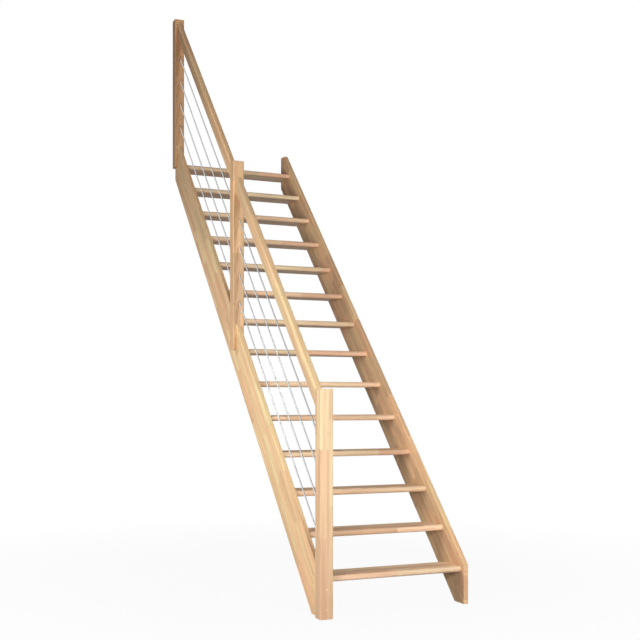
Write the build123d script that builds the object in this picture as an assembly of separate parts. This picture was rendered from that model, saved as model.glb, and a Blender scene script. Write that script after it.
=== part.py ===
from build123d import *
import math
import os

# A straight space-saving stair in solid beech, with open risers and a railing on
# its left side. X runs across the stair to the right, Y runs along the climb and
# Z is up. The floor is Z = 0 and the origin is the centre of the front post's foot.

# Climb
rise = 200.0
going = 192.0
first_tread_top = 197.0
tread_count = 14

# Treads
tread_thickness = 32.0
tread_depth = 175.0
nose_radius = 14.0
back_radius = 3.0

# Stringers
clear_width = 812.0
stringer_thickness = 27.0
stringer_width = 219.0
nosing_margin = 33.0
nosing_setback = 31.0
housing_depth = 12.0
tip_drop = 1.5
stringer_edge_radius = 5.0

# Posts
post_side = 70.0
post_edge_radius = 6.0
post_top_edge = 1.5
post_reveal = 23.0
middle_post_reveal = 29.0
middle_post_tread_count = 7
middle_post_setback = 100.0
plug_hole_diameter = 10.0
plug_hole_depth = 8.0
plug_heights = (47.0, 148.0)

# Handrails
rail_width = 40.0
rail_depth = 70.0
rail_height = 955.0
rail_top_radius = 12.0
rail_bottom_radius = 6.0

# Steel rods
rod_diameter = 8.0
rod_count = 4
rod_first_height = 199.0
rod_spacing = 168.0
rod_insertion = 20.0

# Fits: side play of a board in its groove, play of a rod in its bore, and the
# space left past the end of a tread or a rod.
board_play = 0.2
rod_play = 0.15
end_play = 0.2

# Values that follow from the sizes above
slope = math.atan2(rise, going)
slope_direction = (0.0, math.cos(slope), math.sin(slope))
post_half = post_side / 2
stringer_half = stringer_thickness / 2
stringer_front = post_half
first_nosing = stringer_front + nosing_setback
left_inner_face = stringer_half
right_inner_face = left_inner_face + clear_width
last_tread_back = first_nosing + (tread_count - 1) * going + tread_depth
stringer_end = last_tread_back
top_post_front = stringer_end - post_side
middle_post_front = first_nosing + (middle_post_tread_count - 1) * going + middle_post_setback


def nosing_height(y):
    """Height of the line through all tread noses at distance y along the climb."""
    return first_tread_top + (y - first_nosing) * rise / going


def upper_edge_height(y):
    """Height of the stringers' upper edge at distance y."""
    return nosing_height(y) + nosing_margin / math.cos(slope)


def lower_edge_height(y):
    """Height of the stringers' lower edge at distance y."""
    return upper_edge_height(y) - stringer_width / math.cos(slope)


def rail_top_height(y):
    """Height of the handrail's top face at distance y."""
    return nosing_height(y) + rail_height


def y_on_line(height_at_zero, z):
    """Distance along the climb where a sloping line reaches height z."""
    return (z - height_at_zero) * going / rise


def tread_top(number):
    """Height of the walking surface of one tread."""
    return first_tread_top + (number - 1) * rise


def tread_nosing(number):
    """Distance of one tread's front edge."""
    return first_nosing + (number - 1) * going


stringer_top = upper_edge_height(top_post_front) - tip_drop
stringer_tip = y_on_line(upper_edge_height(0.0), stringer_top)
stringer_heel = y_on_line(lower_edge_height(0.0), 0.0)

os.makedirs("parts", exist_ok=True)
pieces = {}


def outline_face(points, x):
    """A face standing across X at the given x, from (y, z) points."""
    outline = Polyline(*points, close=True)
    return Plane.YZ.offset(x) * make_face(outline)


def tread_section(play, x, y, z):
    """End profile of a tread, grown by a play on all sides but the one it rests on."""
    profile = Rectangle(
        tread_depth + 2 * play,
        tread_thickness + play,
        align=(Align.MIN, Align.MIN),
    )
    front_corners = profile.vertices().group_by(Axis.X)[0]
    profile = fillet(front_corners, nose_radius + play)
    back_corners = profile.vertices().group_by(Axis.X)[-1]
    profile = fillet(back_corners, back_radius + play)
    place = Plane((x, y - play, z), x_dir=(0, 1, 0), z_dir=(1, 0, 0))
    return place * profile


def make_tread(number):
    """One tread, long enough to reach into the housings of both stringers."""
    reach = housing_depth - end_play
    bottom = tread_top(number) - tread_thickness
    section = tread_section(0.0, left_inner_face - reach, tread_nosing(number), bottom)
    return extrude(section, amount=clear_width + 2 * reach)


def make_housings(inner_face, side):
    """Stopped housings for all tread ends, cut from one inner face outward."""
    housings = []
    start = inner_face if side > 0 else inner_face - housing_depth
    for number in range(1, tread_count + 1):
        bottom = tread_top(number) - tread_thickness
        section = tread_section(board_play, start, tread_nosing(number), bottom)
        housings.append(extrude(section, amount=housing_depth))
    return housings


def make_stringer(inner_face, side):
    """One stringer: plumb cuts at both ends, level cuts at the foot and the tip."""
    start = inner_face if side > 0 else inner_face - stringer_thickness
    outline = outline_face(
        [
            (stringer_front, 0.0),
            (stringer_front, upper_edge_height(stringer_front)),
            (stringer_tip, stringer_top),
            (stringer_end, stringer_top),
            (stringer_end, lower_edge_height(stringer_end)),
            (stringer_heel, 0.0),
        ],
        start,
    )
    board = extrude(outline, amount=stringer_thickness)
    long_edges = board.edges().filter_by(Axis((0, 0, 0), slope_direction))
    board = fillet(long_edges, stringer_edge_radius)
    for housing in make_housings(inner_face, side):
        board = board - housing
    return board


def make_plain_post(front, bottom, top):
    """A square post with rounded long edges and a lightly broken top edge."""
    centre_y = front + post_half
    post = Pos(0, centre_y, bottom) * Box(
        post_side,
        post_side,
        top - bottom,
        align=(Align.CENTER, Align.CENTER, Align.MIN),
    )
    post = fillet(post.edges().filter_by(Axis.Z), post_edge_radius)
    return chamfer(post.faces().sort_by(Axis.Z)[-1].edges(), post_top_edge)


def make_fork(front, bottom):
    """The open slot that lets a post straddle the left stringer and sit on its edge."""
    width = stringer_thickness + 2 * board_play
    back = front + post_side
    lead = post_half
    points = [(front - lead, bottom - lead), (front - lead, upper_edge_height(front - lead))]
    if back + lead > stringer_tip:
        points.append((stringer_tip, stringer_top))
        points.append((back + lead, stringer_top))
    else:
        points.append((back + lead, upper_edge_height(back + lead)))
    points.append((back + lead, bottom - lead))
    return extrude(outline_face(points, -width / 2), amount=width)


def rod_height(row):
    """Height of a rod's centre line above the nosing line, counted from the lowest."""
    return rod_first_height + row * rod_spacing


def slanted_cylinder(row, radius, y_from, y_to):
    """A cylinder along the climb on one rod line, from one distance to another."""
    start = (0.0, y_from, nosing_height(y_from) + rod_height(row))
    length = (y_to - y_from) / math.cos(slope)
    return Plane(start, z_dir=slope_direction) * Cylinder(
        radius, length, align=(Align.CENTER, Align.CENTER, Align.MIN)
    )


def make_rod_bores(face, into):
    """Blind bores for one field of rods: into is 1 for a front face, -1 for a back face."""
    depth = (rod_insertion + end_play) * math.cos(slope)
    bottom = face + into * depth
    outside = face - into * rod_diameter
    low = min(bottom, outside)
    high = max(bottom, outside)
    radius = rod_diameter / 2 + rod_play
    return [slanted_cylinder(row, radius, low, high) for row in range(rod_count)]


def make_plug_holes():
    """Counterbores in the front post's front face, over the screws into the stringer."""
    holes = []
    for height in plug_heights:
        place = Plane((0.0, -post_half, height), z_dir=(0, 1, 0))
        holes.append(place * Cylinder(plug_hole_diameter / 2, 2 * plug_hole_depth))
    return holes


def make_rods(name, lower_face, upper_face):
    """The rods of one field, each housed in the posts at both ends."""
    reach = rod_insertion * math.cos(slope)
    for row in range(rod_count):
        rod = slanted_cylinder(row, rod_diameter / 2, lower_face - reach, upper_face + reach)
        pieces[f"{name}_{row + 1}"] = rod


def make_rail(lower_face, upper_face):
    """A handrail length between two posts, cut plumb to lie flat on both faces."""
    overrun = rail_depth
    start_y = lower_face - overrun
    start = (0.0, start_y, rail_top_height(start_y))
    place = Plane(start, x_dir=(-1, 0, 0), z_dir=slope_direction)
    section = Rectangle(rail_width, rail_depth, align=(Align.CENTER, Align.MAX))
    section = fillet(section.vertices().group_by(Axis.Y)[-1], rail_top_radius)
    section = fillet(section.vertices().group_by(Axis.Y)[0], rail_bottom_radius)
    length = (upper_face - lower_face + 2 * overrun) / math.cos(slope)
    bar = extrude(place * section, amount=length)
    middle_y = (lower_face + upper_face) / 2
    keep = Pos(0, middle_y, rail_top_height(middle_y)) * Box(
        2 * rail_width, upper_face - lower_face, 2 * length
    )
    return bar & keep


# Stringers and treads
pieces["left_stringer"] = make_stringer(left_inner_face, -1)
pieces["right_stringer"] = make_stringer(right_inner_face, 1)
for tread_number in range(1, tread_count + 1):
    pieces[f"tread_{tread_number:02d}"] = make_tread(tread_number)

# Front post: it stands on the floor against the plumb cut of the left stringer.
front_post_back = stringer_front
front_post = make_plain_post(-post_half, 0.0, rail_top_height(front_post_back) + post_reveal)
for bore in make_rod_bores(front_post_back, -1):
    front_post = front_post - bore
for hole in make_plug_holes():
    front_post = front_post - hole
pieces["front_post"] = front_post

# Middle post: its fork straddles the stringer and its inner cheek stands on a tread.
middle_post_back = middle_post_front + post_side
middle_post_bottom = tread_top(middle_post_tread_count)
middle_post = make_plain_post(
    middle_post_front,
    middle_post_bottom,
    rail_top_height(middle_post_back) + middle_post_reveal,
)
middle_post = middle_post - make_fork(middle_post_front, middle_post_bottom)
for bore in make_rod_bores(middle_post_front, 1) + make_rod_bores(middle_post_back, -1):
    middle_post = middle_post - bore
pieces["middle_post"] = middle_post

# Top post: forked in the same way over the level tip of the stringer.
top_post_bottom = tread_top(tread_count)
top_post = make_plain_post(
    top_post_front,
    top_post_bottom,
    rail_top_height(top_post_front) + post_reveal,
)
top_post = top_post - make_fork(top_post_front, top_post_bottom)
for bore in make_rod_bores(top_post_front, 1):
    top_post = top_post - bore
pieces["top_post"] = top_post

# Handrails and rods of the lower and the upper field
pieces["lower_handrail"] = make_rail(front_post_back, middle_post_front)
pieces["upper_handrail"] = make_rail(middle_post_back, top_post_front)
make_rods("lower_rod", front_post_back, middle_post_front)
make_rods("upper_rod", middle_post_back, top_post_front)

for name, solid in pieces.items():
    solid.label = name
    export_step(solid, f"parts/{name}.step")
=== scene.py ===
# %% [markdown]
# # A steep, space-saving staircase in beech
#
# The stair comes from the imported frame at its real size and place: two stringers,
# fourteen treads, three posts, two handrails and eight thin steel rods. Here each
# piece gets the finish of the real one. Two wooden plugs are added over the screws
# in the front post, and the camera, floor and light of the photograph are set up.

# %% Load the frame
import math

import bpy
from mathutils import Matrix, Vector


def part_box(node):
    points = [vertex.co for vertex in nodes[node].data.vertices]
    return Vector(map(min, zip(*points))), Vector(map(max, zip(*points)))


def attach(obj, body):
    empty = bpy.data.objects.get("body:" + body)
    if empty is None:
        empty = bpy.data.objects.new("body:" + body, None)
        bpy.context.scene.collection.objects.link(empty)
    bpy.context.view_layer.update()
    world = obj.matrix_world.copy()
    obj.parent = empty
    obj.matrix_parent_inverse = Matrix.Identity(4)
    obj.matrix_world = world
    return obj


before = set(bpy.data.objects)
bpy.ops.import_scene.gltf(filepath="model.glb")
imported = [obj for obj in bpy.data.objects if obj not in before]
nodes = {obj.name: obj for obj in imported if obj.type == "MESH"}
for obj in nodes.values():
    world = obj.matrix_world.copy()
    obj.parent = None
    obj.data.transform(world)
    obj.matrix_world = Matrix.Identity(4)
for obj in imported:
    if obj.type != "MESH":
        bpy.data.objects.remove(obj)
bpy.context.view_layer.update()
print("pieces in the frame:", len(nodes))

# %% [markdown]
# ## Camera
#
# The photograph was taken level, from the front left, a little over one metre above
# the floor. A tilted camera would make the posts lean together, and they stand upright
# in the picture. So this camera stays level too, and its view is shifted up instead,
# because the horizon lies below the middle of the picture.

# %% Place the camera
picture_width = 640
horizon_row = 399.2
focal_pixels = 1029.8
camera_place = (-2.042, -4.701, 1.091)
camera_turn = math.radians(23.25)

camera_data = bpy.data.cameras.new("camera")
camera = bpy.data.objects.new("camera", camera_data)
bpy.context.scene.collection.objects.link(camera)
camera.location = camera_place
camera.rotation_euler = (math.radians(90), 0, -camera_turn)
camera_data.sensor_width = 36.0
camera_data.lens = focal_pixels / picture_width * camera_data.sensor_width
camera_data.shift_y = (horizon_row - picture_width / 2) / picture_width
camera_data.clip_end = 2000
bpy.context.scene.camera = camera
bpy.context.scene.view_settings.view_transform = "Standard"
print("lens in mm:", round(camera_data.lens, 2), "shift:", round(camera_data.shift_y, 3))

# %% [markdown]
# ## A short hand for node trees
#
# Materials and Geometry Nodes are both trees: nodes are added, their sockets filled or
# linked. Written out in full, one wood grain would take pages. This small class keeps
# each step on one line, and the steps can be read as sums.


# %% Helper for node trees
class Tree:
    """A node tree with short ways to add nodes, fill sockets and do sums."""

    def __init__(self, tree):
        self.nodes = tree.nodes
        self.links = tree.links

    def add(self, kind, **settings):
        node = self.nodes.new(kind)
        for name, value in settings.items():
            setattr(node, name, value)
        return node

    def put(self, socket, value):
        """Links a socket to another one, or types a value into it."""
        if isinstance(value, bpy.types.NodeSocket):
            self.links.new(value, socket)
        else:
            socket.default_value = value

    def math(self, operation, *values):
        node = self.add("ShaderNodeMath", operation=operation)
        for socket, value in zip(node.inputs, values):
            self.put(socket, value)
        return node.outputs[0]

    def vector(self, operation, *values):
        node = self.add("ShaderNodeVectorMath", operation=operation)
        for socket, value in zip(node.inputs, values):
            self.put(socket, value)
        gives_number = operation in ("DOT_PRODUCT", "LENGTH")
        return node.outputs["Value" if gives_number else "Vector"]

    def join(self, x, y, z):
        node = self.add("ShaderNodeCombineXYZ")
        for socket, value in zip(node.inputs, (x, y, z)):
            self.put(socket, value)
        return node.outputs[0]

    def channels(self, colour):
        """The three numbers in a colour."""
        split = self.add("ShaderNodeSeparateColor")
        self.put(split.inputs[0], colour)
        return split.outputs

    def rescale(self, value, low, high, to_low=0.0, to_high=1.0):
        """Maps low..high to to_low..to_high and stops at both ends."""
        node = self.add("ShaderNodeMapRange")
        for socket, number in zip(node.inputs, (value, low, high, to_low, to_high)):
            self.put(socket, number)
        return node.outputs[0]

    def blend(self, factor, first, second, mode="MIX"):
        node = self.add("ShaderNodeMix", data_type="RGBA", blend_type=mode)
        colours = [socket for socket in node.inputs if socket.type == "RGBA"]
        self.put(node.inputs[0], factor)
        self.put(colours[0], first)
        self.put(colours[1], second)
        return [socket for socket in node.outputs if socket.type == "RGBA"][0]

    def stretch(self, board, along, across, drift):
        """A place in a board, scaled along and across its grain and shifted by drift."""
        pairs = zip(board, (along, across, across))
        return self.join(*[self.math("MULTIPLY_ADD", way, scale, drift) for way, scale in pairs])

    def noise(self, place, detail):
        node = self.add("ShaderNodeTexNoise")
        self.put(node.inputs["Vector"], place)
        self.put(node.inputs["Scale"], 1.0)
        self.put(node.inputs["Detail"], detail)
        return node.outputs[0]


def new_material(name):
    """An empty material and its tree."""
    material = bpy.data.materials.new(name)
    material.use_nodes = True
    material.node_tree.nodes.clear()
    return material, Tree(material.node_tree)


# %% [markdown]
# ## Beech, step one: the staves
#
# The boards are glued up from narrow beech staves, side by side and end to end, with
# finger joints where two ends meet. Each stave was cut from another plank, so each has
# its own tone. A picture of wood would repeat, and would need a flat layout for every
# piece. Here the stave is found by counting instead: the place in the board, divided by
# the size of a stave, gives a row, a layer and a number along the row, and these pick
# the random values of that stave. The fingers are a small zigzag added before counting.

# %% Stave pattern
finger_length = 0.009
finger_pitch = 0.0042
glue_line_half = 0.00018
glue_fade = 2.5
row_shift = 37.0
second_draw = 50.0


def stave_pattern(tree, board, stave, seed):
    """Two random colours per stave, and a mask that is 1 on its glue lines."""
    along, across, through = board
    width, length, layer = stave
    row_place = tree.math("DIVIDE", across, width)
    row = tree.math("FLOOR", row_place)
    layer_number = tree.math("FLOOR", tree.math("DIVIDE", through, layer))
    start = tree.add("ShaderNodeTexWhiteNoise", noise_dimensions="3D")
    tree.put(start.inputs["Vector"], tree.join(row, layer_number, seed))

    zigzag = tree.math("PINGPONG", across, finger_pitch / 2)
    zigzag = tree.math("MULTIPLY", zigzag, finger_length / (finger_pitch / 2))
    end_place = tree.math("DIVIDE", tree.math("ADD", along, zigzag), length)
    end_place = tree.math("MULTIPLY_ADD", start.outputs["Value"], row_shift, end_place)
    cell = tree.math("FLOOR", end_place)
    stave_number = tree.join(row, cell, layer_number)

    first = tree.add("ShaderNodeTexWhiteNoise", noise_dimensions="4D")
    tree.put(first.inputs["Vector"], stave_number)
    tree.put(first.inputs["W"], seed)
    second = tree.add("ShaderNodeTexWhiteNoise", noise_dimensions="4D")
    tree.put(second.inputs["Vector"], stave_number)
    tree.put(second.inputs["W"], seed + second_draw)

    end_gap = tree.math("MULTIPLY", tree.math("PINGPONG", end_place, 0.5), length)
    side_gap = tree.math("MULTIPLY", tree.math("PINGPONG", row_place, 0.5), width)
    nearest = tree.math("MINIMUM", end_gap, side_gap)
    glue = tree.rescale(nearest, glue_line_half, glue_fade * glue_line_half, 1.0, 0.0)
    return first.outputs["Color"], second.outputs["Color"], glue


common_stave = 0.044
print("fingers across a stave of 44 mm:", round(common_stave / finger_pitch))

# %% [markdown]
# ## Beech, step two: rings and flecks
#
# Beech is a quiet wood. Its growth rings are fine and only a little darker at their
# outer edge, and its mark is the fleck: short brown dashes, 2 to 4 mm long, that lie
# along the grain. A flat noise would give the same figure on every face. Real rings are
# tubes round the middle of the tree, so here each stave gets its own tree: a random
# middle some way outside the stave. The distance to it, counted in ring widths, draws
# straight lines on one face, long arches on the next and arcs on the sawn ends, all
# fitting together at the edges.

# %% Growth rings and flecks
ring_width = 0.0034
log_middle_side = 0.11
log_middle_near = 0.05
log_middle_far = 0.19
ring_wander = 7.0
wander_scales = (2.6, 14.0)
ring_sharpness = 3.0
ring_edge = 0.93
fleck_length = 0.0062
fleck_width = 0.0011
fleck_rim = (0.20, 0.34)


def ring_figure(tree, board, log_middle, drift):
    """A value that climbs to 1 over each growth ring and drops back at its edge."""
    _, across, through = board
    side, height, _ = tree.channels(log_middle)
    side = tree.rescale(side, 0.0, 1.0, -log_middle_side, log_middle_side)
    height = tree.rescale(height, 0.0, 1.0, log_middle_near, log_middle_far)
    from_side = tree.math("ADD", across, side)
    from_height = tree.math("ADD", through, height)
    distance = tree.vector("LENGTH", tree.join(from_side, from_height, 0.0))
    slow = tree.stretch(board, *wander_scales, drift)
    wander = tree.math("MULTIPLY", tree.noise(slow, 2.0), ring_wander)
    rings = tree.math("ADD", tree.math("DIVIDE", distance, ring_width), wander)
    part = tree.math("FRACT", rings)
    climb = tree.math("POWER", part, ring_sharpness)
    drop = tree.rescale(part, ring_edge, 1.0, 1.0, 0.0)
    return tree.math("MULTIPLY", climb, drop)


def fleck_mask(tree, board, drift):
    """Short spindle-shaped dashes along the grain."""
    cells = tree.add("ShaderNodeTexVoronoi")
    place = tree.stretch(board, 1 / fleck_length, 1 / fleck_width, drift)
    tree.put(cells.inputs["Vector"], place)
    tree.put(cells.inputs["Scale"], 1.0)
    return tree.rescale(cells.outputs["Distance"], *fleck_rim, 1.0, 0.0)


print("rings across a stave of 44 mm:", round(common_stave / ring_width))

# %% [markdown]
# ## Beech, step three: colour, sheen and touch
#
# The colours were chosen under plain light: a pinkish and a straw-coloured beech, mixed
# differently for each stave and made a little lighter or darker. Rings, fine streaks,
# broader brown streaks from near the heart of the tree, and flecks darken it. One colour
# per board would look like plastic, because the eye finds wood in these small steps.
#
# Whole boards differ too, since they come from different batches of wood. A batch colour
# multiplies the board's own, and no colour goes past 0.95, as no wood is that pale. On the
# boards that stand higher up, or in the shade of others, the batch colour also carries
# painted shade: it is made darker and browner there.
#
# The clear lacquer lies over all of it, so the sheen is nearly even: only a little duller
# on the flecks. A thin clear coat carries it. The relief is tiny, a few hundredths of a
# millimetre, which is felt more than seen.

# %% Beech material
drift_range = 23.0
streak_scales = (1.8, 45.0)
streak_rim = (0.36, 0.66)
heart_scales = (1.1, 24.0)
heart_rim = (0.55, 0.66)
darkest_stave = 0.81
palest_stave = 1.21
palest = 0.95
ring_share = 0.26
streak_share = 0.40
heart_share = 0.34
fleck_share = 0.38
glue_share = 0.45
lacquer_roughness = 0.48
fleck_dulling = 0.08
lacquer_specular = 0.35
coat_weight = 0.08
coat_roughness = 0.30
bump_strength = 0.35
bump_height = 0.00008
ring_relief = 0.4
glue_relief = 1.5
pink_beech = (0.83, 0.49, 0.285, 1)
straw_beech = (0.77, 0.575, 0.32, 1)
ring_brown = (0.46, 0.255, 0.135, 1)
heart_brown = (0.54, 0.29, 0.145, 1)
fleck_brown = (0.36, 0.175, 0.085, 1)
glue_brown = (0.36, 0.20, 0.11, 1)


def beech(name, ways, stave, start, seed, batch_and_shade, straw=(0.0, 1.0)):
    """Lacquered beech in staves.

    The ways are the board's length, width and thickness. A stave is given by its width,
    its length and the thickness of a layer, counted from the start point. The batch colour
    is partly the wood's own tint and partly painted shade, darker and browner on boards
    that stand higher up or in the shade of others. The share of straw has a lowest and a
    highest value, and it is lower on the higher boards too, as painted shade.
    """
    material, tree = new_material(name)
    place = tree.add("ShaderNodeTexCoord").outputs["Object"]
    place = tree.vector("SUBTRACT", place, start)
    board = [tree.vector("DOT_PRODUCT", place, way) for way in ways]
    looks, log_middle, glue = stave_pattern(tree, board, stave, seed)
    tone, hue, phase = tree.channels(looks)
    drift = tree.math("MULTIPLY", phase, drift_range)
    rings = ring_figure(tree, board, log_middle, drift)
    flecks = fleck_mask(tree, board, drift)
    fine = tree.stretch(board, *streak_scales, drift)
    streaks = tree.rescale(tree.noise(fine, 5.0), *streak_rim)
    broad = tree.stretch(board, *heart_scales, drift)
    heart = tree.rescale(tree.noise(broad, 2.0), *heart_rim)

    colour = tree.blend(tree.rescale(hue, 0.0, 1.0, *straw), pink_beech, straw_beech)
    bright = tree.rescale(tone, 0.0, 1.0, darkest_stave, palest_stave)
    # The batch colour carries painted shade as well: darker and browner on the higher boards and
    # the right stringer.
    shade = tree.join(*[tree.math("MULTIPLY", bright, share) for share in batch_and_shade])
    colour = tree.blend(1.0, colour, shade, "MULTIPLY")
    colour = tree.vector("MINIMUM", colour, (palest, palest, palest))
    colour = tree.blend(tree.math("MULTIPLY", rings, ring_share), colour, ring_brown)
    colour = tree.blend(tree.math("MULTIPLY", streaks, streak_share), colour, ring_brown)
    colour = tree.blend(tree.math("MULTIPLY", heart, heart_share), colour, heart_brown)
    colour = tree.blend(tree.math("MULTIPLY", flecks, fleck_share), colour, fleck_brown)
    colour = tree.blend(tree.math("MULTIPLY", glue, glue_share), colour, glue_brown)

    shader = tree.add("ShaderNodeBsdfPrincipled")
    tree.put(shader.inputs["Base Color"], colour)
    roughness = tree.math("MULTIPLY_ADD", flecks, fleck_dulling, lacquer_roughness)
    tree.put(shader.inputs["Roughness"], roughness)
    tree.put(shader.inputs["Specular IOR Level"], lacquer_specular)
    tree.put(shader.inputs["Coat Weight"], coat_weight)
    tree.put(shader.inputs["Coat Roughness"], coat_roughness)
    height = tree.math("ADD", tree.math("MULTIPLY", rings, ring_relief), flecks)
    height = tree.math("MULTIPLY_ADD", glue, glue_relief, height)
    bump = tree.add("ShaderNodeBump", invert=True)
    tree.put(bump.inputs["Strength"], bump_strength)
    tree.put(bump.inputs["Distance"], bump_height)
    tree.put(bump.inputs["Height"], height)
    tree.put(shader.inputs["Normal"], bump.outputs[0])
    output = tree.add("ShaderNodeOutputMaterial")
    tree.put(output.inputs["Surface"], shader.outputs[0])
    return material


# %% [markdown]
# ## Grain direction of each board
#
# Wood is strong along its grain, so the grain always runs the long way of a piece:
# across the stair in the treads, upright in the posts, and up the slope in stringers
# and handrails. The slope is measured from two treads, so it fits the frame whatever
# its size. The posts are glued from two layers, which shows as a line on their faces.
#
# Each kind of board has a layout: the ways of its grain, the size of its staves, and the
# point from which they are counted. A stringer's or rail's staves are counted from its
# own edge, so no thin sliver of a stave is left there. Both are one layer thick, so their
# layers are counted from a point that keeps the borders outside the wood.
#
# The batches follow the photograph, and they are partly the wood's own colour and partly
# painted shade. The middle post, the top post and the upper handrail are made darker and
# browner, and given less straw, the higher they stand. The right stringer, whose inner
# face lies in the shade of the treads, is made browner than the left one. The treads are
# the palest. The seeds choose among the boards that could have been made: the front post
# has straw-coloured staves at its top and pink ones at its foot.

# %% Give the boards their wood
second_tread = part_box("tread_02")[0]
first_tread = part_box("tread_01")[0]
slope = math.atan2(second_tread[2] - first_tread[2], second_tread[1] - first_tread[1])
print("slope in degrees:", round(math.degrees(slope), 2))

side_way = (1, 0, 0)
climb_way = (0, math.cos(slope), math.sin(slope))
off_slope_way = (0, -math.sin(slope), math.cos(slope))
depth_way = (0, 1, 0)
upright = (0, 0, 1)

layer_start = -0.2
stringer_margin = 0.0345
rail_margin = 0.0015
post_joint = 0.011
tread_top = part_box("tread_01")[1][2]
board_edge = (layer_start, first_tread[1], tread_top + stringer_margin / math.cos(slope))
rail_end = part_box("lower_handrail")[1]
rail_edge = (layer_start, rail_end[1], rail_end[2] + rail_margin / math.cos(slope))
post_line = (post_joint, post_joint, 0.0)

post_ways = (upright, side_way, depth_way)
slope_ways = (climb_way, off_slope_way, side_way)
tread_ways = (side_way, depth_way, upright)
tread_stave = (0.044, 0.58, 0.1)
stringer_stave = (0.0445, 0.34, 0.4)
post_stave = (0.047, 0.44, 0.0472)
rail_stave = (0.0365, 0.62, 0.4)

tread_start = (0.0, 0.0, 0.0)
tread_batch = (1.13, 1.18, 1.37)
tread_layout = (tread_ways, tread_stave, tread_start)
post_layout = (post_ways, post_stave, post_line)
rail_layout = (slope_ways, rail_stave, rail_edge)
stringer_layout = (slope_ways, stringer_stave, board_edge)

# Each board: its layout, its seed, the colour of its batch and its share of straw. Both
# carry painted shade: darker, browner and less straw on the higher boards, and browner on
# the right stringer.
tread_choices = (*tread_layout, 1669.0, tread_batch, (0.1, 1.0))
boards = {
    "left_stringer": (*stringer_layout, 6277.0, (1.14, 1.13, 1.08), (0.1, 1.0)),
    "right_stringer": (*stringer_layout, 6277.0, (1.06, 1.02, 0.99), (0.1, 1.0)),
    "front_post": (*post_layout, 4868.0, (0.96, 1.02, 1.08), (0.0, 1.0)),
    "middle_post": (*post_layout, 5857.0, (0.90, 0.90, 0.81), (0.0, 0.6)),
    "top_post": (*post_layout, 10332.0, (0.76, 0.70, 0.59), (0.0, 0.5)),
    "lower_handrail": (*rail_layout, 11664.0, (1.01, 1.06, 1.04), (0.2, 1.0)),
    "upper_handrail": (*rail_layout, 4582.0, (0.94, 0.93, 0.87), (0.0, 0.7)),
}


def dress(node_name, material):
    """Puts one material on every slot of a CAD piece."""
    mesh = nodes[node_name].data
    if not mesh.materials:
        mesh.materials.append(material)
    for number in range(len(mesh.materials)):
        mesh.materials[number] = material


tread_wood = beech("beech_treads", *tread_choices)
treads = [node_name for node_name in nodes if node_name.startswith("tread")]
for node_name in treads:
    dress(node_name, tread_wood)
for node_name, choices in boards.items():
    dress(node_name, beech("beech_" + node_name, *choices))
print("boards dressed:", len(treads) + len(boards))

# %% [markdown]
# ## Steel rods
#
# The rods are drawn stainless steel with a satin finish. Drawing leaves fine lines
# along the rod, so the noise that carries them is stretched along the slope. It changes
# tone and roughness a little, and the bright streak from the lamps breaks up along it.


# %% Satin steel
lines_along = 25.0
lines_across = 2200.0
lines_rim = (0.3, 0.7)
dull_steel = (0.78, 0.785, 0.79, 1)
bright_steel = (0.88, 0.885, 0.89, 1)
steel_roughness = (0.13, 0.20)


def satin_steel():
    """Steel with fine drawn lines along the slope."""
    material, tree = new_material("satin_steel")
    place = tree.add("ShaderNodeTexCoord").outputs["Object"]
    rod = [tree.vector("DOT_PRODUCT", place, way) for way in slope_ways]
    lines = tree.noise(tree.stretch(rod, lines_along, lines_across, 0.0), 3.0)
    shader = tree.add("ShaderNodeBsdfPrincipled")
    tree.put(shader.inputs["Metallic"], 1.0)
    colour = tree.blend(lines, dull_steel, bright_steel)
    tree.put(shader.inputs["Base Color"], colour)
    roughness = tree.rescale(lines, *lines_rim, *steel_roughness)
    tree.put(shader.inputs["Roughness"], roughness)
    output = tree.add("ShaderNodeOutputMaterial")
    tree.put(output.inputs["Surface"], shader.outputs[0])
    return material


steel = satin_steel()
rods = [node_name for node_name in nodes if "_rod_" in node_name]
for node_name in rods:
    dress(node_name, steel)
print("rods dressed:", len(rods))

# %% [markdown]
# ## Plugs over the screws
#
# Two long screws hold the front post to the foot of the stringer. Their heads sit deep
# in round holes, and a short beech plug closes each hole. The holes are in the frame.
# A plug is a disc with a broken rim, and both are the same, so Geometry Nodes build it
# once: a circle is drawn out to a disc, drawn out again and made smaller for the rim,
# and set on two points of a line. The plug stays a hair below the post's face, so that
# the joint round it can be seen.

# %% Plug tree
plug_inputs = {
    "Radius": 0.00485,
    "Depth": 0.0076,
    "Rim": 0.0005,
    "Spacing": 0.101,
    "Turn seed": 4,
}
rim_points = 40
largest_turn = 0.6
merge_distance = 0.00001


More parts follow.
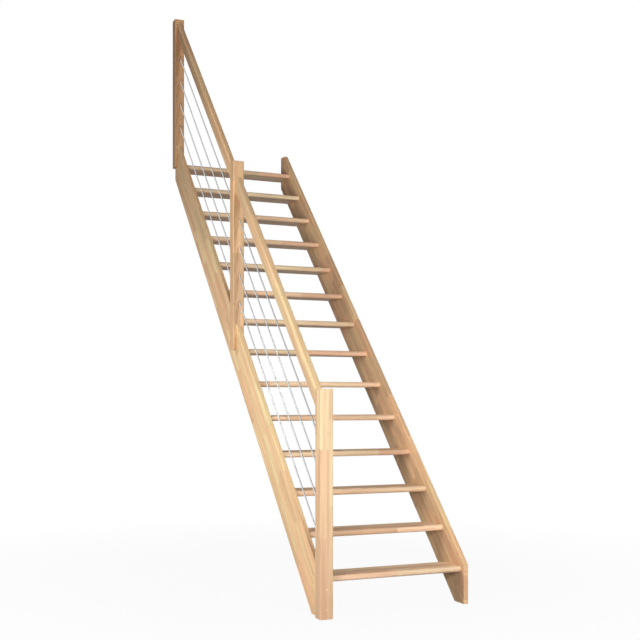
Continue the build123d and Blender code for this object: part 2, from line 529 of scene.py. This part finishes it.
def plug_tree(material):
    """A node tree that sets two plugs, one above the other, facing the front."""
    group = bpy.data.node_groups.new("screw_plugs", "GeometryNodeTree")
    for name, value in plug_inputs.items():
        kind = "NodeSocketInt" if isinstance(value, int) else "NodeSocketFloat"
        group.interface.new_socket(name, in_out="INPUT", socket_type=kind)
    group.interface.new_socket("Plugs", in_out="OUTPUT", socket_type="NodeSocketGeometry")
    tree = Tree(group)
    given = tree.add("NodeGroupInput").outputs
    drawn = tree.math("SUBTRACT", given["Depth"], given["Rim"])

    circle = tree.add("GeometryNodeMeshCircle", fill_type="NGON")
    tree.put(circle.inputs["Vertices"], rim_points)
    tree.put(circle.inputs["Radius"], given["Radius"])
    body = tree.add("GeometryNodeExtrudeMesh", mode="FACES")
    tree.put(body.inputs["Mesh"], circle.outputs["Mesh"])
    tree.put(body.inputs["Offset Scale"], drawn)
    rim = tree.add("GeometryNodeExtrudeMesh", mode="FACES")
    tree.put(rim.inputs["Mesh"], body.outputs["Mesh"])
    tree.put(rim.inputs["Selection"], body.outputs["Top"])
    tree.put(rim.inputs["Offset Scale"], given["Rim"])
    narrow = tree.add("GeometryNodeScaleElements", domain="FACE")
    tree.put(narrow.inputs["Geometry"], rim.outputs["Mesh"])
    tree.put(narrow.inputs["Selection"], rim.outputs["Top"])
    share = tree.math("SUBTRACT", 1.0, tree.math("DIVIDE", given["Rim"], given["Radius"]))
    tree.put(narrow.inputs["Scale"], share)
    back = tree.add("GeometryNodeFlipFaces")
    tree.put(back.inputs["Mesh"], circle.outputs["Mesh"])
    shell = tree.add("GeometryNodeJoinGeometry")
    tree.put(shell.inputs[0], narrow.outputs[0])
    tree.put(shell.inputs[0], back.outputs[0])
    plug = tree.add("GeometryNodeMergeByDistance")
    tree.put(plug.inputs["Geometry"], shell.outputs[0])
    tree.put(plug.inputs["Distance"], merge_distance)

    line = tree.add("GeometryNodeMeshLine", mode="OFFSET")
    tree.put(line.inputs["Count"], 2)
    tree.put(line.inputs["Offset"], tree.join(0.0, 0.0, given["Spacing"]))
    turn = tree.add("FunctionNodeRandomValue", data_type="FLOAT")
    floats = [socket for socket in turn.inputs if socket.type == "VALUE"]
    tree.put(floats[0], -largest_turn)
    tree.put(floats[1], largest_turn)
    tree.put(turn.inputs["Seed"], given["Turn seed"])
    value = [socket for socket in turn.outputs if socket.type == "VALUE"][0]
    facing = tree.join(math.radians(90), value, 0.0)
    placed = tree.add("GeometryNodeInstanceOnPoints")
    tree.put(placed.inputs["Points"], line.outputs[0])
    tree.put(placed.inputs["Instance"], plug.outputs[0])
    tree.put(placed.inputs["Rotation"], facing)
    real = tree.add("GeometryNodeRealizeInstances")
    tree.put(real.inputs[0], placed.outputs[0])
    finish = tree.add("GeometryNodeSetMaterial")
    tree.put(finish.inputs["Geometry"], real.outputs[0])
    tree.put(finish.inputs["Material"], material)
    output = tree.add("NodeGroupOutput")
    tree.put(output.inputs[0], finish.outputs[0])
    return group


# %% [markdown]
# The tree runs on an empty carrier. Its inputs are set by their identifiers before it is
# first evaluated. The result is taken as a plain mesh, moved to its place in the post,
# and the carrier is thrown away. The plugs' wood comes from a paler batch than the
# post's, because in the photograph they show as two small light dots.

# %% Make the plugs
plug_ways = (depth_way, upright, side_way)
plug_stave = (0.2, 0.2, 0.2)
plug_start = (-0.1, -0.1, -0.1)
plug_batch = (1.3, 1.5, 1.9)
plug_wood = beech("beech_plugs", plug_ways, plug_stave, plug_start, 5.0, plug_batch)
plug_group = plug_tree(plug_wood)
print("nodes in the plug tree:", len(plug_group.nodes))
carrier = bpy.data.objects.new("plug_carrier", bpy.data.meshes.new("plug_carrier"))
bpy.context.scene.collection.objects.link(carrier)
maker = carrier.modifiers.new("plugs", "NODES")
maker.node_group = plug_group
for item in plug_group.interface.items_tree:
    if item.in_out == "INPUT":
        maker[item.identifier] = plug_inputs[item.name]

bpy.context.view_layer.update()
evaluated = carrier.evaluated_get(bpy.context.evaluated_depsgraph_get())
plug_mesh = bpy.data.meshes.new_from_object(evaluated)
bpy.data.objects.remove(carrier)

post_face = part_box("front_post")[0][1]
lower_plug_height = 0.047
plug_recess = 0.00015
plug_back = post_face + plug_recess + plug_inputs["Depth"]
for vertex in plug_mesh.vertices:
    vertex.co += Vector((0.0, plug_back, lower_plug_height))
plugs = bpy.data.objects.new("screw_plugs", plug_mesh)
bpy.context.scene.collection.objects.link(plugs)
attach(plugs, "root")
print("plug faces:", len(plug_mesh.polygons), "slots:", len(plug_mesh.materials))

# %% [markdown]
# ## Floor and background
#
# The photograph stands on plain white. If more light made it white, the wood would burn
# out as well. So the floor and the world are white by their own colour, and only for
# rays from the camera or from a shiny surface. All other rays meet a matte grey floor,
# which throws only a little light up under the treads. A paler one would wash out the
# dark edge under each nose, which is what makes the treads look thick.
#
# Near the stair the floor keeps a little of its real shading, so the stair stands in its
# own soft shadow. A shiny surface sees the white floor at less than half its strength: a
# fully white one lays a veil over the wood, because its clear coat mirrors the floor on
# every face that looks down.

# %% Floor
floor_half = 500.0
stair_centre = (0.42, 1.30, 0.0)
shadow_reach = (1.2, 3.2)
least_white = 0.95
mirrored_share = 0.45
bounce_grey = (0.25, 0.25, 0.25, 1)
plain_white = (1, 1, 1, 1)
corners = [(-1, -1), (1, -1), (1, 1), (-1, 1)]
floor_mesh = bpy.data.meshes.new("floor")
points = [(x * floor_half, y * floor_half, 0) for x, y in corners]
floor_mesh.from_pydata(points, [], [(0, 1, 2, 3)])
floor = bpy.data.objects.new("floor", floor_mesh)
bpy.context.scene.collection.objects.link(floor)


def seen_and_mirrored(tree):
    """Two masks: rays from the camera, and rays off or through a shine."""
    path = tree.add("ShaderNodeLightPath").outputs
    mirrored = tree.math("MAXIMUM", path["Is Glossy Ray"], path["Is Transmission Ray"])
    return path["Is Camera Ray"], mirrored


floor_material, tree = new_material("floor_white")
place = tree.add("ShaderNodeTexCoord").outputs["Object"]
distance = tree.vector("LENGTH", tree.vector("SUBTRACT", place, stair_centre))
white_share = tree.rescale(distance, *shadow_reach, least_white, 1.0)
seen, mirrored = seen_and_mirrored(tree)
white_rays = tree.math("MAXIMUM", seen, tree.math("MULTIPLY", mirrored, mirrored_share))
glow = tree.add("ShaderNodeEmission")
tree.put(glow.inputs["Color"], plain_white)
matte = tree.add("ShaderNodeBsdfDiffuse")
tree.put(matte.inputs["Color"], bounce_grey)
mix = tree.add("ShaderNodeMixShader")
tree.put(mix.inputs[0], tree.math("MULTIPLY", white_rays, white_share))
tree.put(mix.inputs[1], matte.outputs[0])
tree.put(mix.inputs[2], glow.outputs[0])
output = tree.add("ShaderNodeOutputMaterial")
tree.put(output.inputs["Surface"], mix.outputs[0])
floor_mesh.materials.append(floor_material)
print("floor side in metres:", 2 * floor_half)

# %% [markdown]
# The world is white to the camera. A shiny surface sees a studio: a white wall low down,
# a large white panel up on the left, and dark all round them. That gives each thin rod
# a bright side and a dark side, so it can be read against wood and white. The panel
# stands where the rods mirror it to the camera and the flat wood faces do not. To all
# other rays the world is only a faint fill, because the lamps do the lighting.

# %% World
fill_strength = 0.04
dark_side = 0.10
panel_way = (-0.62, 0.05, 0.78)
panel_edge = (0.64, 0.78)
wall_top = (-0.1, 0.3)
wall_right_end = (0.0, 0.7)
world = bpy.data.worlds.new("studio")
bpy.context.scene.world = world
world.use_nodes = True
world.node_tree.nodes.clear()
tree = Tree(world.node_tree)
way = tree.add("ShaderNodeTexCoord").outputs["Generated"]
towards_panel = tree.vector("DOT_PRODUCT", way, panel_way)
panel = tree.rescale(towards_panel, *panel_edge, dark_side, 1.0)
looking = tree.add("ShaderNodeSeparateXYZ")
tree.put(looking.inputs[0], way)
low_wall = tree.rescale(looking.outputs[2], *wall_top, 1.0, dark_side)
from_right = tree.rescale(looking.outputs[0], *wall_right_end, 1.0, dark_side)
low_wall = tree.math("MULTIPLY", low_wall, from_right)
mirrored_white = tree.math("MAXIMUM", panel, low_wall)
seen, mirrored = seen_and_mirrored(tree)
white = tree.add("ShaderNodeBackground")
tree.put(white.inputs["Color"], plain_white)
tree.put(white.inputs["Strength"], tree.math("MAXIMUM", mirrored_white, seen))
fill = tree.add("ShaderNodeBackground")
tree.put(fill.inputs["Color"], plain_white)
tree.put(fill.inputs["Strength"], fill_strength)
mix = tree.add("ShaderNodeMixShader")
tree.put(mix.inputs[0], tree.math("MAXIMUM", seen, mirrored))
tree.put(mix.inputs[1], fill.outputs[0])
tree.put(mix.inputs[2], white.outputs[0])
output = tree.add("ShaderNodeOutputWorld")
tree.put(output.inputs["Surface"], mix.outputs[0])
print("panel height in degrees:", round(math.degrees(math.asin(panel_way[2]))))

# %% [markdown]
# ## Lamps
#
# In the photograph the lower part is bright and the top is clearly darker, and the left
# sides are nearly as bright as the fronts. Lamps near the foot do that, because light
# gets weaker with distance: two soft ones on the left, of which one faces the corners of
# the posts, and one in front to the right. A weak one overhead lights the upper faces,
# and one behind the stair lights its back and its right side, which the photograph does
# not show, so that they can be read as well. The treads don't mirror that one, because
# at a low angle it would lay a white gleam on them. Large discs keep the shadows soft.


# %% Lamps
lamp_size = 1.4
stair_middle = (0.2, 0.8, 1.0)
stair_back = (0.2, 1.6, 2.0)


def soft_lamp(name, place, aim, power, mirrored=True):
    """A disc lamp at a place, turned to its aim. A lamp that isn't mirrored has no gleam."""
    lamp_data = bpy.data.lights.new(name, "AREA")
    lamp_data.shape = "DISK"
    lamp_data.size = lamp_size
    lamp_data.energy = power
    lamp = bpy.data.objects.new(name, lamp_data)
    bpy.context.scene.collection.objects.link(lamp)
    lamp.location = place
    lamp.rotation_euler = (Vector(aim) - Vector(place)).to_track_quat("-Z", "Y").to_euler()
    lamp.visible_camera = False
    lamp.visible_glossy = mirrored


soft_lamp("left_lamp", (-3.0, 0.5, 1.5), stair_middle, 78)
soft_lamp("corner_lamp", (-2.6, -3.0, 1.4), stair_middle, 78)
soft_lamp("front_lamp", (0.8, -4.5, 2.0), stair_middle, 190)
soft_lamp("top_lamp", (0.2, 0.0, 7.0), stair_middle, 36)
soft_lamp("back_lamp", (3.0, 4.8, 3.0), stair_back, 75, mirrored=False)
